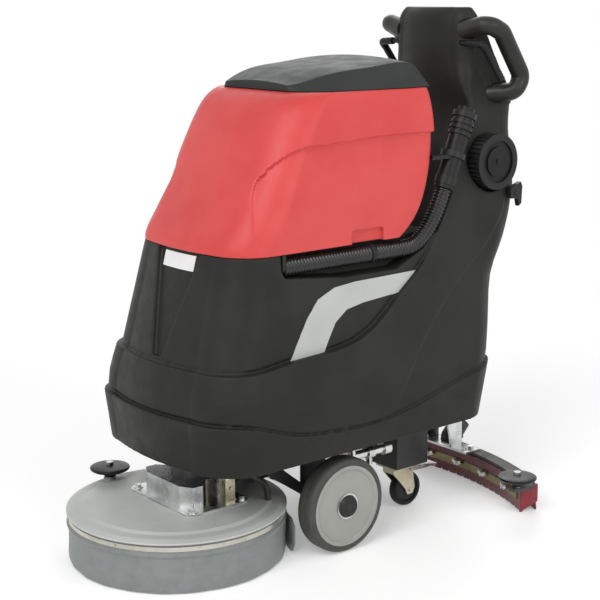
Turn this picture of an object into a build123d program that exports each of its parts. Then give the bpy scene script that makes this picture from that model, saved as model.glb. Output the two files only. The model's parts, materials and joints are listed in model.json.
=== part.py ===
from build123d import *
import math
import os

os.makedirs("parts", exist_ok=True)

# Clearances
running_gap = 0.06
seat_gap = 0.05
free_gap = 0.5

# Main wheels and axle
wheel_radius = 100.0
wheel_width = 48.0
wheel_face_y = 233.0
rim_radius = 85.0
axle_gap = 38.0
axle_radius = 10.0
hub_cap_radius = 24.0

# Rear end of the machine, as far behind the origin as the deck reaches before it
rear_end = 538.0

# Casters
caster_radius = 40.0
caster_width = 26.0
caster_x = -206.0
caster_y = 104.0
caster_trail = 28.0
caster_box_bottom = 102.0
caster_plate = 4.0
stem_radius = 8.0

# Brush deck
deck_radius = 226.0
deck_x = rear_end - deck_radius
axle_x = deck_x - deck_radius - axle_gap
deck_top = 115.0
deck_sheet = 6.0
band_radius = deck_radius - 4
band_sheet = 1.2
motor_plate_top = 119.0
gear_top = 164.0
brush_radius = deck_radius - 20
shaft_radius = 12.0
lift_travel = 25.0
motor_x = 263.0
motor_radius = 52.0
arm_pivot = (133.0, 163.0)
hanger_pin = (250.0, 150.0)
hanger_y = 93.0
pin_radius = 4.0
pin_swing = 0.72
pin_play = 0.9

# Rollers on the deck and the squeegee
roller_radius = 43.0
roller_bolt = 5.0
deck_roller = (deck_x + 37, 28 - deck_radius)
roller_seat = 115.4

# Squeegee
arc_x = 226.0
lip_radius = 695.0
blade_sheet = 4.0
squeegee_depth = 32.0
squeegee_top = 70.0
squeegee_angle = 25.6
squeegee_roller = (-367.0, 320.0)
squeegee_pivot = (-300.0, 170.0)
pivot_radius = 6.0

# Body heights and wall
body_bottom = 215.0
boundary_z = 632.0
column_top = 886.0
rear_bulge = 0.66
wall = 7.0
tank_wall = 5.0
tank_top = 938.0

# Body sections: height, half width, front, bow, corner radius, rear, rear half width, flank start
belt_sections = [
    (215.0, 232.0, 378.0, 14.0, 100.0, -386.0, 156.0, -310.0),
    (365.0, 243.0, 399.0, 18.0, 105.0, -412.0, 163.0, -330.0),
]
middle_sections = [
    (215.0, 226.0, 372.0, 18.0, 100.0, -378.0, 150.0, -304.0),
    (330.0, 236.0, 386.0, 18.0, 105.0, -403.0, 158.0, -326.0),
    (415.0, 225.0, 367.0, 18.0, 100.0, -422.0, 150.0, -342.0),
    (520.0, 210.0, 330.0, 18.0, 95.0, -440.0, 142.0, -360.0),
    (600.0, 195.0, 300.0, 16.0, 85.0, -487.0, 141.0, -412.0),
    (680.0, 176.0, 290.0, 16.0, 80.0, -521.0, 136.0, -456.0),
    (760.0, 157.0, 280.0, 16.0, 75.0, -524.0, 133.0, -472.0),
    (830.0, 143.0, 270.0, 16.0, 70.0, -518.0, 128.0, -478.0),
    (886.0, 132.0, 260.0, 16.0, 65.0, -526.0, 124.0, -488.0),
]
core_sections = [
    (390.0, 214.0, 365.0, 16.0, 96.0, -250.0, 204.0, -240.0),
    (632.0, 188.0, 298.0, 12.0, 80.0, -250.0, 178.0, -240.0),
]

# Side view lines of the body: x, z
belt_line = [
    (-470, 350), (-342, 329), (-175, 286), (-32, 262), (76, 265), (180, 278), (303, 315), (348, 319),
    (430, 320),
]
sweep_line = [
    (430, 414), (325, 414), (273, 415), (180, 424), (50, 433), (-20, 452), (-85, 494), (-126, 526),
    (-187, 572), (-245, 636), (-310, 720), (-352, 790), (-385, 845), (-392, 886),
]
strip_line = [
    (181, 420), (156, 460), (129, 501), (98, 535), (53, 553), (-2, 558), (-97, 559), (-176, 560),
    (-142, 521), (-88, 518), (-21, 513), (25, 505), (57, 483), (80, 448), (96, 420),
]
flank_line = [
    (-462, 704), (-453, 664), (-422, 628), (-387, 597), (-281, 522), (-195, 442), (-138, 375), (-86, 287),
    (-72, 250),
]
flank_depth = 2.5
strip_depth = 5.0
panel_depth = 11.0
panel_top_half = 76.0
panel_foot_half = 15.0
panel_foot_z = 424.0
lip_rise = 6.0
lip_depth = 4.0
badge_half = 52.0
badge_height = 30.0
badge_z = 610.0

# Hose channel on the left side
channel_front = 183.0
channel_y = 154.0
channel_foot = 563.0
channel_line = [(183, 600), (176, 586), (20, 570), (-120, 569), (-200, 603), (-248, 645)]

# Battery well
well_front = 190.0
well_rear = -170.0
well_half = 140.0
well_foot = 245.0
battery = (168.0, 260.0, 211.0)

# Recovery tank sections: height, half width, front, ridge x, ridge y, side start, rear
tank_sections = [
    (632.4, 190.0, 297.0, 283.0, 130.0, 206.0, -140.0),
    (700.0, 194.0, 261.0, 249.0, 126.0, 172.0, -200.0),
    (760.0, 194.0, 226.0, 216.0, 121.0, 145.0, -222.0),
    (822.0, 191.0, 195.0, 187.0, 115.0, 118.0, -235.0),
    (872.0, 187.0, 170.0, 163.0, 110.0, 93.0, -236.0),
    (912.0, 182.0, 145.0, 138.0, 107.0, 68.0, -231.0),
    (938.0, 177.0, 104.0, 98.0, 105.0, 28.0, -223.0),
]
swoosh_line = [
    (236, 686), (220, 737), (202, 775), (174, 808), (143, 829), (53, 840), (-69, 846), (-260, 844),
]
swoosh_top = 840.0
swoosh_depth = 11.0

# Lid sections: x, half width at the foot, half width at the crease, crease z, crown z
lid_sections = [
    (97.0, 105.0, 101.0, 951.0, 957.0),
    (55.0, 150.0, 124.0, 961.0, 969.0),
    (-45.0, 175.0, 143.0, 979.0, 988.0),
    (-140.0, 179.0, 148.0, 988.0, 998.0),
    (-200.0, 178.5, 147.0, 984.0, 993.0),
    (-226.0, 177.0, 146.0, 962.0, 969.0),
]
lid_wall = 5.0
lid_pivot = (-240.0, 945.0)
hand_pocket_top = 660.0

# Drain hose along the left side
hose_y = 175.0
hose_z = 606.0
hose_front = 172.0
hose_bend_x = -97.5
hose_bend = 185.0
hose_turn = 68.0
hose_crest = 18.0
hose_valley = 15.6
hose_bore = 13.0
rib_pitch = 8.0
cuff_radius = 21.0
cuff_length = 142.0

# Head sections: height, half width, front, bow, corner radius, rear, rear half width, flank start
head_sections = [
    (886.0, 132.0, -391.0, 2.0, 10.0, -540.0, 124.0, -500.0),
    (930.0, 121.0, -376.0, 9.0, 22.0, -540.0, 116.0, -500.0),
    (980.0, 114.0, -371.0, 14.0, 35.0, -540.0, 110.0, -500.0),
    (1050.0, 112.0, -371.0, 14.0, 35.0, -540.0, 108.0, -500.0),
    (1080.0, 108.0, -376.0, 13.0, 33.0, -540.0, 104.0, -500.0),
    (1097.0, 99.0, -390.0, 11.0, 28.0, -540.0, 95.0, -500.0),
]
head_wall = 7.0
head_top = 1097.0
dash_line = [(-424.0, 1097.0), (-526.0, 908.0)]
flange_depth = 6.0
flange_line = [(-412, 1000), (-470, 904), (-540, 904), (-540, 1076), (-444, 1064), (-414, 1040)]
handle_radius = 20.0
handle_y = 160.0
handle_path = [
    (-404, 92, 1048), (-414, handle_y, 1062), (-455, handle_y, 1044), (-522.9, handle_y, 945),
    (-502, handle_y, 914), (-462, 108, 908),
]
bail_radius = 8.0
bail_pivot = (-396.0, 1020.0)
bail_path = [(-396, 120, 1020), (-396, handle_y, 1018), (-410, handle_y, 1004), (-458, handle_y, 942)]

# Lever on the left of the column
lever_pin = (-488.0, 692.5)
lever_y = 173.0

# Filler cap on the column
filler = (-427.0, 766.0)
filler_radius = 61.0
neck_radius = 52.0
neck_bore = 44.0
filler_floor = 148.0
filler_reach = 186.0


def save(name, shape):
    export_step(shape, f"parts/{name}.step")


def group(*shapes):
    return Compound([solid for shape in shapes for solid in shape.solids()])


def rod(radius, start, end):
    axis = Vector(*end) - Vector(*start)
    return Solid.make_cylinder(radius, axis.length, Plane(origin=start, z_dir=axis))


def across(radius, x, z, y_from, y_to):
    return rod(radius, (x, y_from, z), (x, y_to, z))


def upright(radius, x, y, z_from, z_to):
    return rod(radius, (x, y, z_from), (x, y, z_to))


def block(x_from, x_to, y_from, y_to, z_from, z_to):
    middle = ((x_from + x_to) / 2, (y_from + y_to) / 2, (z_from + z_to) / 2)
    return Pos(*middle) * Box(x_to - x_from, y_to - y_from, z_to - z_from)


def side_face(points):
    return make_face(Polyline([(x, 0, z) for x, z in points], close=True))


def side_prism(points, y_from, y_to):
    return Pos(0, y_from, 0) * extrude(side_face(points), amount=y_to - y_from, dir=(0, 1, 0))


def flat_prism(points, z_from, z_to):
    face = make_face(Polyline([(x, y, z_from) for x, y in points], close=True))
    return extrude(face, amount=z_to - z_from, dir=(0, 0, 1))


def under_line(points, floor):
    top = Spline([(x, 0, z) for x, z in points])
    first = points[0]
    last = points[-1]
    far = min(first[0], last[0], -600)
    foot = [(last[0], 0, last[1]), (last[0], 0, floor), (first[0], 0, floor), (first[0], 0, first[1])]
    if last[0] < first[0]:
        foot[1:2] = [(far, 0, last[1]), (far, 0, floor)]
    foot_line = Polyline(foot)
    return extrude(make_face([*top.edges(), *foot_line.edges()]), amount=300, both=True)


def spun(points, x, y):
    face = make_face(Polyline([(r, 0, z) for r, z in points], close=True))
    return Pos(x, y, 0) * revolve(face, Axis.Z)


def mirrored(shape):
    return shape.mirror(Plane.XZ)


def plan_face(z, half, front, ridge, side_x, flank_x, rear, rear_half, bulge):
    ridge_x, ridge_y = ridge
    middle_x = side_x + (ridge_x - side_x) * bulge
    middle_y = ridge_y + (half - ridge_y) * bulge
    corner_x = flank_x + (rear - flank_x) * rear_bulge
    corner_y = rear_half + (half - rear_half) * rear_bulge
    edges = [
        ThreePointArc((ridge_x, -ridge_y, z), (front, 0, z), (ridge_x, ridge_y, z)),
        ThreePointArc((ridge_x, ridge_y, z), (middle_x, middle_y, z), (side_x, half, z)),
        Line((side_x, half, z), (flank_x, half, z)),
        ThreePointArc((flank_x, half, z), (corner_x, corner_y, z), (rear, rear_half, z)),
        Line((rear, rear_half, z), (rear, -rear_half, z)),
        ThreePointArc((rear, -rear_half, z), (corner_x, -corner_y, z), (flank_x, -half, z)),
        Line((flank_x, -half, z), (side_x, -half, z)),
        ThreePointArc((side_x, -half, z), (middle_x, -middle_y, z), (ridge_x, -ridge_y, z)),
    ]
    return make_face(edges)


def finer(rows, parts):
    result = []
    last = len(rows) - 1
    for index in range(last):
        before = rows[max(index - 1, 0)]
        start = rows[index]
        end = rows[index + 1]
        after = rows[min(index + 2, last)]
        for part in range(parts):
            t = part / parts
            row = []
            for a, b, c, d in zip(before, start, end, after):
                curve = 2 * b + (c - a) * t
                curve += (2 * a - 5 * b + 4 * c - d) * t**2
                curve += (3 * b - a - 3 * c + d) * t**3
                row.append(curve / 2)
            result.append(tuple(row))
    result.append(rows[-1])
    return result


def body_loft(sections, inset):
    faces = []
    for z, half, front, bow, corner, rear, rear_half, flank in sections:
        ridge = (front - bow - inset, half - corner)
        side_x = front - bow - corner
        back = rear + inset
        back_half = rear_half - inset
        faces.append(plan_face(z, half - inset, front - inset, ridge, side_x, flank, back, back_half, 0.7071))
    return loft(faces, ruled=True)


def belt(inset):
    return body_loft(belt_sections, inset) & Pos(0, 0, -inset) * under_line(belt_line, 100)


def middle(inset):
    sweep = Pos(-inset, 0, -inset) * under_line(sweep_line, 100)
    return body_loft(finer(middle_sections, 3), inset) & sweep


def core(inset):
    return body_loft(core_sections, inset)


def tank_loft(inset, step=0.0):
    faces = []
    for z, half, front, ridge_x, ridge_y, side_x, rear in tank_sections:
        depth = inset + step * min(max((z - boundary_z) / (swoosh_top - boundary_z), 0), 1)
        ridge = (ridge_x - depth, ridge_y)
        side = half - depth
        back = rear + inset
        faces.append(plan_face(z, side, front - depth, ridge, side_x, back + 16, back, side - 16, 0.66))
    return loft(faces)


# Solution tank, a double walled tub with the column
outer = belt(0) + middle(0) + core(0)
panel = extrude(
    make_face(
        Polyline(
            [
                (500, -panel_foot_half, panel_foot_z),
                (500, panel_foot_half, panel_foot_z),
                (500, panel_top_half, boundary_z + 10),
                (500, -panel_top_half, boundary_z + 10),
            ],
            close=True,
        )
    ),
    amount=400,
    dir=(-1, 0, 0),
)
strip_prism = extrude(side_face(strip_line), amount=300, both=True)
outer -= panel - core(panel_depth) - block(-600, 150, -300, 300, 0, 900)
outer -= strip_prism - core(strip_depth) - middle(0)
belt_gap = Pos(0, 0, lip_rise) * under_line(belt_line, 100) - under_line(belt_line, 100)
outer -= (belt_gap & middle(0)) - middle(lip_depth)
sweep_gap = Pos(lip_rise / 2, 0, lip_rise) * under_line(sweep_line, 100) - under_line(sweep_line, 100)
outer -= (sweep_gap & core(0)) - core(lip_depth)
flank_edge = Spline([(x, 0, z) for x, z in flank_line])
flank_rest = Polyline([(-72, 0, 250), (-600, 0, 250), (-600, 0, 704), (-462, 0, 704)])
flank = extrude(make_face([*flank_edge.edges(), *flank_rest.edges()]), amount=300, both=True)
outer -= flank - middle(flank_depth) - belt(0)
channel_end = (channel_line[-1][0], boundary_z + 20)
channel = side_prism([(channel_front, boundary_z + 20), *channel_line, channel_end], channel_y, 300)
well = block(well_rear, well_front, -well_half, well_half, well_foot, boundary_z + 20)
pocket = upright(motor_radius + 8, motor_x, 0, body_bottom - 10, 338)
filler_x, filler_z = filler
filler_seat = across(filler_radius + 5, filler_x, filler_z, filler_floor, 260)
filler_hole = across(neck_radius + seat_gap, filler_x, filler_z, 100, 260)

cavity = belt(wall) + middle(wall) + core(wall + panel_depth)
cavity &= block(-600, 600, -300, 300, body_bottom + wall, column_top - wall)
cavity &= block(-600, 600, -300, 300, 0, boundary_z - wall) + block(-600, -258, -300, 300, 0, 900)
well_side = well_half + wall
cavity -= block(well_rear - wall, well_front + wall, -well_side, well_side, well_foot - wall, 900)
cavity -= block(-262 - wall, channel_front + wall, channel_y - wall, 300, channel_foot - wall, boundary_z)
cavity -= upright(motor_radius + 8 + wall, motor_x, 0, 100, 338 + wall)
cavity -= across(filler_radius + 5 + wall, filler_x, filler_z, filler_floor - wall, 260)
lever_boss = across(10, *lever_pin, 120, lever_y - free_gap)
lever_stud = across(5, *lever_pin, 160, lever_y + 14)
solution_tank = outer - channel - well - pocket - filler_seat - cavity
solution_tank = solution_tank - filler_hole + (lever_boss - cavity) + lever_stud
save("solution_tank", solution_tank)

strips = (strip_prism & core(0.6)) - core(strip_depth - seat_gap)
strips = strips - channel - middle(0)
save("accent_strips", group(strips))
badge_foot = badge_z - badge_height / 2
badge_block = block(200, 400, -badge_half, badge_half, badge_foot, badge_foot + badge_height)
save("badge_plate", (badge_block & core(panel_depth - 2)) - core(panel_depth - seat_gap))

neck = across(neck_radius, filler_x, filler_z, 118, filler_reach - 10)
neck = neck - across(neck_bore, filler_x, filler_z, 100, 200)
save("filler_neck", neck)
cap_outer = across(filler_radius, filler_x, filler_z, filler_floor + free_gap, filler_reach)
cap_inner = across(neck_radius + 1.5, filler_x, filler_z, filler_floor, filler_reach - 9)
cap_dish = across(46, filler_x, filler_z, filler_reach - 4, 200) - across(33, filler_x, filler_z, 170, 200)
filler_cap = cap_outer - cap_inner - cap_dish
filler_cap = filler_cap + across(6, filler_x, filler_z, filler_reach - 1, filler_reach + 2)
for step in range(36):
    turn = math.radians(step * 10)
    notch_x = filler_x + (filler_radius + 1) * math.cos(turn)
    notch_z = filler_z + (filler_radius + 1) * math.sin(turn)
    filler_cap = filler_cap - across(2.6, notch_x, notch_z, filler_floor, filler_reach - 6)
save("filler_cap", filler_cap)

cells = []
for cell_x in (well_rear + 8 + battery[0] / 2, well_front - 8 - battery[0] / 2):
    case = Pos(cell_x, 0, well_foot + 95) * Box(battery[0], battery[1], 190)
    cover = block(cell_x - 78, cell_x + 78, -124, 124, well_foot + 190, well_foot + battery[2])
    posts = upright(9, cell_x - 50, 95, well_foot + 190, well_foot + 228)
    posts = posts + upright(9, cell_x - 50, -95, well_foot + 190, well_foot + 228)
    cells.append(case + cover + posts)
save("batteries", group(*cells))

# Recovery tank with its dry chamber
tank_shell = tank_loft(0)
swoosh_spline = Spline([(x, 0, z) for x, z in swoosh_line])
swoosh_foot = Polyline([(-260, 0, 844), (-260, 0, 600), (250, 0, 600), (236, 0, 686)])
swoosh = extrude(make_face([*swoosh_spline.edges(), *swoosh_foot.edges()]), amount=300, both=True)
swoosh = swoosh - block(-150, 600, -112, 112, 0, 990) - block(-600, -150, -168, 168, 0, 990)
tank_shell = tank_shell - (swoosh - tank_loft(0, swoosh_depth))
inner = tank_loft(tank_wall, swoosh_depth)
inner &= block(-600, 600, -300, 300, boundary_z + tank_wall, tank_top - tank_wall)
mouth = block(-165, 20, -115, 115, 900, 960)
chamber = block(-250, -60, -300, 300, 774, 780) + block(-66, -60, -300, 300, 774, 960)
hand_pocket = block(-87, 0, 177, 260, boundary_z - 10, hand_pocket_top)
hand_pocket = fillet(hand_pocket.edges().filter_by(Axis.Y), 6)
pocket_wall = block(-92, 5, 172, 260, boundary_z, hand_pocket_top + 5)
inlet_corner = (-246, -110, 730)
inlet_collar = (-246, -138, 730)
inlet_end = (-246, -176, 730)
inlet = rod(25, (-200, -110, 730), inlet_corner) + Pos(*inlet_corner) * Sphere(25)
inlet = inlet + rod(25, inlet_corner, inlet_collar) + rod(22, inlet_collar, inlet_end)
inlet_bore = rod(17, (-180, -110, 730), inlet_corner) + Pos(*inlet_corner) * Sphere(17)
inlet_bore = inlet_bore + rod(17, inlet_corner, inlet_end)
recovery_tank = tank_shell - (inner - pocket_wall) - hand_pocket + (chamber & inner) - mouth
recovery_tank = recovery_tank + (inlet - inner) - inlet_bore
save("recovery_tank", recovery_tank)
save("vacuum_motor", upright(62, -135, 0, 780, 880) + upright(40, -135, 0, 880, 916))
cage = upright(22, -38, 0, 820, 912) - upright(19, -38, 0, 826, 906)
for turn in range(4):
    window = Pos(-38, 0, 862) * Rot(0, 0, 45 + 90 * turn) * Pos(21, 0, 0) * Box(14, 14, 60)
    cage = cage - window
float_ball = Pos(-38, 0, 826 + 17 + seat_gap) * Sphere(17)
save("float_cage", group(cage, float_ball))

# Lid
lid_faces = []
for x, foot_half, crease_half, crease_z, crown_z in lid_sections:
    lid_faces.append(
        make_face(
            [
                Line((x, -foot_half, tank_top + free_gap), (x, foot_half, tank_top + free_gap)),
                Line((x, foot_half, tank_top + free_gap), (x, crease_half, crease_z)),
                ThreePointArc((x, crease_half, crease_z), (x, 0, crown_z), (x, -crease_half, crease_z)),
                Line((x, -crease_half, crease_z), (x, -foot_half, tank_top + free_gap)),
            ]
        )
    )
lid = loft(lid_faces)
hollow = block(-178, 32, -125, 125, 930, tank_top + 14)
hollow = fillet(hollow.edges().filter_by(Axis.Z), 20)
lid_lug = across(9, *lid_pivot, -70, -40) + across(9, *lid_pivot, 40, 70)
lid_lug = lid_lug + block(-240, -220, -70, -40, 945, 960) + block(-240, -220, 40, 70, 945, 960)
lid_bore = across(5 + running_gap, *lid_pivot, -100, 100)
save("tank_lid", lid - hollow + lid_lug - lid_bore)
hinge_pin = across(5, *lid_pivot, -90, 90)
lid_hinge = hinge_pin
for ear_from, ear_to in ((-88, -71), (-39, 39), (71, 88)):
    lid_hinge = lid_hinge + block(-250, -231, ear_from, ear_to, 915, 945)
    lid_hinge = lid_hinge + (block(-240, -220, ear_from, ear_to, 915, 935) - tank_loft(-seat_gap))
seal = block(-177, 31, -124, 124, tank_top, tank_top + 4)
seal = fillet(seal.edges().filter_by(Axis.Z), 19) - block(-169, 23, -117, 117, 930, 950)
save("lid_seal", seal)

# Tank tilt hinges on the right side
tilt_axis = (-201.0, 630.0)
leaf_fixed = []
leaf_moving = []
for hinge_x in (-80.0, 150.0):
    barrel = rod(6, (hinge_x - 30, *tilt_axis), (hinge_x - 10.3, *tilt_axis))
    barrel = barrel + rod(6, (hinge_x + 10.3, *tilt_axis), (hinge_x + 30, *tilt_axis))
    plate = block(hinge_x - 30, hinge_x + 30, -202, -180, 585, 624) - body_loft(core_sections, -seat_gap)
    pin = rod(2.5, (hinge_x - 30, *tilt_axis), (hinge_x + 30, *tilt_axis))
    web = block(hinge_x - 30, hinge_x - 10.3, -205, -198, 615, 630)
    web = web + block(hinge_x + 10.3, hinge_x + 30, -205, -198, 615, 630)
    leaf_fixed.append(barrel + plate + web + pin)
    knuckle = rod(6, (hinge_x - 10, *tilt_axis), (hinge_x + 10, *tilt_axis))
    leaf = block(hinge_x - 10, hinge_x + 10, -205, -180, 632, 665) - tank_loft(-seat_gap)
    knuckle = knuckle + leaf - rod(2.5 + running_gap, (hinge_x - 40, *tilt_axis), (hinge_x + 40, *tilt_axis))
    leaf_moving.append(knuckle)
save("tilt_hinge_base", group(*leaf_fixed))
save("tank_hinges", group(lid_hinge, *leaf_moving))

# Drain hose, elbow, cuff, holder and cap
turn = math.radians(hose_turn)
bend_length = hose_bend * turn
straight = hose_front - hose_bend_x
hose_length = straight + bend_length
hose_end = (hose_bend_x - hose_bend * math.sin(turn), hose_y, hose_z + hose_bend * (1 - math.cos(turn)))
hose_way = Vector(-math.cos(turn), 0, math.sin(turn))


def hose_plane(distance):
    if distance <= straight:
        return Plane(origin=(hose_front - distance, hose_y, hose_z), x_dir=(0, 1, 0), z_dir=(-1, 0, 0))
    bent = (distance - straight) / hose_bend
    x = hose_bend_x - hose_bend * math.sin(bent)
    z = hose_z + hose_bend * (1 - math.cos(bent))
    return Plane(origin=(x, hose_y, z), x_dir=(0, 1, 0), z_dir=(-math.cos(bent), 0, math.sin(bent)))


rib_count = round(hose_length / rib_pitch)
rib_step = hose_length / rib_count
rings = []
for rib in range(rib_count):
    start = rib * rib_step
    rings.append(hose_plane(start) * Circle(hose_valley))
    rings.append(hose_plane(start + 0.22 * rib_step) * Circle(hose_valley))
    rings.append(hose_plane(start + 0.42 * rib_step) * Circle(hose_crest))
    rings.append(hose_plane(start + 0.80 * rib_step) * Circle(hose_crest))
rings.append(hose_plane(hose_length) * Circle(hose_valley))
bores = [hose_plane(hose_length * step / 24) * Circle(hose_bore) for step in range(25)]
save("drain_hose", loft(rings, ruled=True) - loft(bores, ruled=True))


def along_cuff(distance):
    return tuple(Vector(*hose_end) + hose_way * distance)


outlet = block(hose_front, hose_front + 8, hose_y - 15, hose_y + 15, hose_z - 4, boundary_z)
plug_end = (hose_front - 40, hose_y, hose_z)
outlet = outlet + rod(hose_bore - seat_gap, (hose_front + 6, hose_y, hose_z), plug_end)
cuff = rod(cuff_radius, along_cuff(0), along_cuff(cuff_length))
cuff = cuff + rod(cuff_radius + 2, along_cuff(8), along_cuff(26))
for ridge in range(3):
    ridge_foot = cuff_length - 24 + 12 * ridge
    cuff = cuff + rod(cuff_radius + 4, along_cuff(ridge_foot), along_cuff(ridge_foot + 7))
cuff = cuff + rod(cuff_radius + 1, along_cuff(cuff_length - 10), along_cuff(cuff_length + 14))
cuff = cuff - rod(hose_bore, along_cuff(-1), along_cuff(cuff_length + 20))
cap_foot = cuff_length + 14 + free_gap
drain_cap = rod(cuff_radius + 5, along_cuff(cap_foot), along_cuff(cap_foot + 12))
drain_cap = drain_cap + rod(cuff_radius - 3, along_cuff(cap_foot + 12), along_cuff(cap_foot + 22))
drain_cap = drain_cap + rod(hose_bore - 0.4, along_cuff(cap_foot - 14), along_cuff(cap_foot))
save("drain_cap", drain_cap)
holder = rod(cuff_radius + 6, along_cuff(68), along_cuff(80)) + block(-300, -215, 165, 189, 786, 794)
holder = holder - rod(cuff_radius + seat_gap, along_cuff(40), along_cuff(120)) - tank_loft(-seat_gap)
save("drain_fittings", group(outlet, cuff, holder))

# Control head, dash and handles
dash_top = Vector(dash_line[0][0], 0, dash_line[0][1])
dash_foot = Vector(dash_line[1][0], 0, dash_line[1][1])
slope = (dash_foot - dash_top).normalized()
dash_out = Vector(slope.Z, 0, -slope.X)
dash_plane = Plane(origin=dash_top + (dash_foot - dash_top) * 0.52, x_dir=(0, 1, 0), z_dir=dash_out)


def before_dash(depth):
    high = dash_top - slope * 40 - dash_out * depth
    low = dash_foot - dash_out * depth
    points = [(-300, column_top), (-300, head_top + 50), (high.X, head_top + 50), (high.X, high.Z)]
    return side_prism([*points, (low.X, low.Z), (low.X, column_top)], -300, 300)


head_rows = finer(head_sections, 3)
flange = body_loft(head_rows, -flange_depth) & side_prism(flange_line, -300, 300)
head = (body_loft(head_rows, 0) + flange) & before_dash(0)
head_room = body_loft(head_rows, head_wall) & before_dash(head_wall)
head_room = head_room & block(-600, -300, -300, 300, column_top - 1, head_top - head_wall)


def tube_along(points, radius, bend):
    path = FilletPolyline(*points, radius=bend)
    return sweep(Plane(origin=path @ 0, z_dir=path % 0) * Circle(radius), path=path)


handle = tube_along(handle_path, handle_radius, 24)
handle_seat = tube_along(handle_path, handle_radius + seat_gap, 24)
save("handles", group(handle, mirrored(handle)))
bail_arm = tube_along(bail_path, bail_radius, 9)
bail_shaft = across(5, *bail_pivot, -122, 122)
save("presence_bail", bail_arm + mirrored(bail_arm) + bail_shaft)
bail_bore = across(5 + running_gap, *bail_pivot, -150, 150)


def on_dash(across_dash, down, height, shape):
    return dash_plane * Pos(across_dash, down, height) * shape


button_radius = 9.0
button_places = {"brush_button": (-20.0, 30.0), "vacuum_button": (20.0, 30.0)}
knob_place = (-66.0, 28.0)
key_place = (66.0, 28.0)
display_place = (0.0, -32.0)
dash = on_dash(0, 0, 2.5, Box(196, 150, 5))
dash = fillet(dash.edges().filter_by(lambda edge: abs(edge.length - 5) < 0.01), 14)
for place in button_places.values():
    dash = dash - on_dash(*place, 5, Cylinder(button_radius + 0.3, 20))
dash = dash - on_dash(*knob_place, 5, Cylinder(4 + running_gap, 20))
dash = dash + on_dash(*key_place, 6, Cylinder(12, 4)) - on_dash(*key_place, 6, Cylinder(3 + running_gap, 20))
dash = dash - on_dash(*display_place, 5, Box(92, 42, 4))
save("dash_panel", dash)
save("charge_display", on_dash(*display_place, 4.4, Box(91.8, 41.8, 2.7)))
for name, place in button_places.items():
    save(name, on_dash(*place, 5.8, Cylinder(button_radius, 5.6)))
knob = on_dash(*knob_place, 12.4, Cylinder(14, 14)) + on_dash(*knob_place, 2.8, Cylinder(4, 5.2))
knob = knob + on_dash(knob_place[0], knob_place[1] - 9, 20, Box(3, 8, 1.6))
save("water_knob", knob)
key = on_dash(*key_place, 5, Cylinder(3, 9)) + on_dash(*key_place, 21, Box(4, 18, 24))
save("ignition_key", key)
head = head - head_room - handle_seat - mirrored(handle_seat) - bail_bore
save("control_head", head)
save("control_board", block(-486, -410, -84, 84, column_top, 904))

# Squeegee lever
lever_points = [
    (-472, 703), (-492, 712), (-504, 716), (-509, 706), (-507, 668), (-499, 662), (-495, 679), (-472, 681),
]
lever = side_prism(lever_points, lever_y, lever_y + 11) - across(5 + running_gap, *lever_pin, 100, 200)
save("squeegee_lever", lever)

# Chassis frame
frame = block(-330, 168, 100, 140, 180, body_bottom) - block(-326, 164, 103, 137, 183, body_bottom - 3)
frame = frame + block(axle_x - 30, axle_x + 30, 114, 126, 78, 181) + block(120, 146, 99, 107, 146, 181)
strut_points = [(axle_x - 8, 92), (axle_x + 8, 84), (182, 172), (182, 190), (160, 190)]
frame = frame + side_prism(strut_points, 126, 134)
frame = frame + across(6, *arm_pivot, 84, 104)
frame = frame + mirrored(frame)
frame = frame + block(-330, -300, -101, 101, 190, 213) + block(100, 118, -101, 101, 192, 213)
frame = frame + block(-316, -284, 46, 54, 156, 191) + block(-316, -284, -54, -46, 156, 191)
frame = frame + across(pivot_radius, *squeegee_pivot, -60, 60)
pedal_pivot = (-250.0, 190.0)
frame = frame + across(pivot_radius, *pedal_pivot, -172, -139)
frame = frame - across(axle_radius + seat_gap, axle_x, wheel_radius, -200, 200)
caster_box = block(-269, -176, 60, 140, caster_box_bottom, 181)
caster_box = caster_box - block(-266, -179, 63, 137, caster_box_bottom + 4, 178)
frame = frame + caster_box + mirrored(caster_box)
save("chassis_frame", group(frame))

# Wheels
axle = across(axle_radius, axle_x, wheel_radius, -wheel_face_y - 2, wheel_face_y + 2)
washer = across(27, axle_x, wheel_radius, wheel_face_y - 1.6, wheel_face_y - 0.6)
spacer = across(15, axle_x, wheel_radius, 135, 184)
save("wheel_axle", axle + washer + mirrored(washer) + spacer + mirrored(spacer))
wheel_place = Pos(axle_x, 0, wheel_radius) * Rot(-90, 0, 0)
cap_bore = axle_radius + seat_gap
cap_points = [
    (0, wheel_face_y + 2), (cap_bore, wheel_face_y + 2), (cap_bore, wheel_face_y - 0.5),
    (hub_cap_radius, wheel_face_y - 0.5), (hub_cap_radius - 3, wheel_face_y + 5), (0, wheel_face_y + 6),
]
hub_cap = wheel_place * spun(cap_points, 0, 0)
save("hub_caps", group(hub_cap, mirrored(hub_cap)))
wheel_inner = wheel_face_y - wheel_width
rim_bore = axle_radius + running_gap
rim_points = [
    (rim_bore, wheel_inner), (30, wheel_inner), (34, wheel_inner + 6), (74, wheel_inner + 6),
    (78, wheel_inner + 2), (rim_radius, wheel_inner + 2), (rim_radius, wheel_face_y - 2),
    (78, wheel_face_y - 1), (74, wheel_face_y - 5), (34, wheel_face_y - 3.5), (rim_bore, wheel_face_y - 2.2),
]
tyre_points = [
    (rim_radius + seat_gap, wheel_inner), (rim_radius + 4, wheel_inner), (wheel_radius - 4, wheel_inner + 4),
    (wheel_radius, wheel_inner + 10), (wheel_radius, wheel_face_y - 10), (wheel_radius - 4, wheel_face_y - 4),
    (rim_radius + 4, wheel_face_y), (rim_radius + seat_gap, wheel_face_y),
]
rim = wheel_place * spun(rim_points, 0, 0)
tyre = wheel_place * spun(tyre_points, 0, 0)
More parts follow.
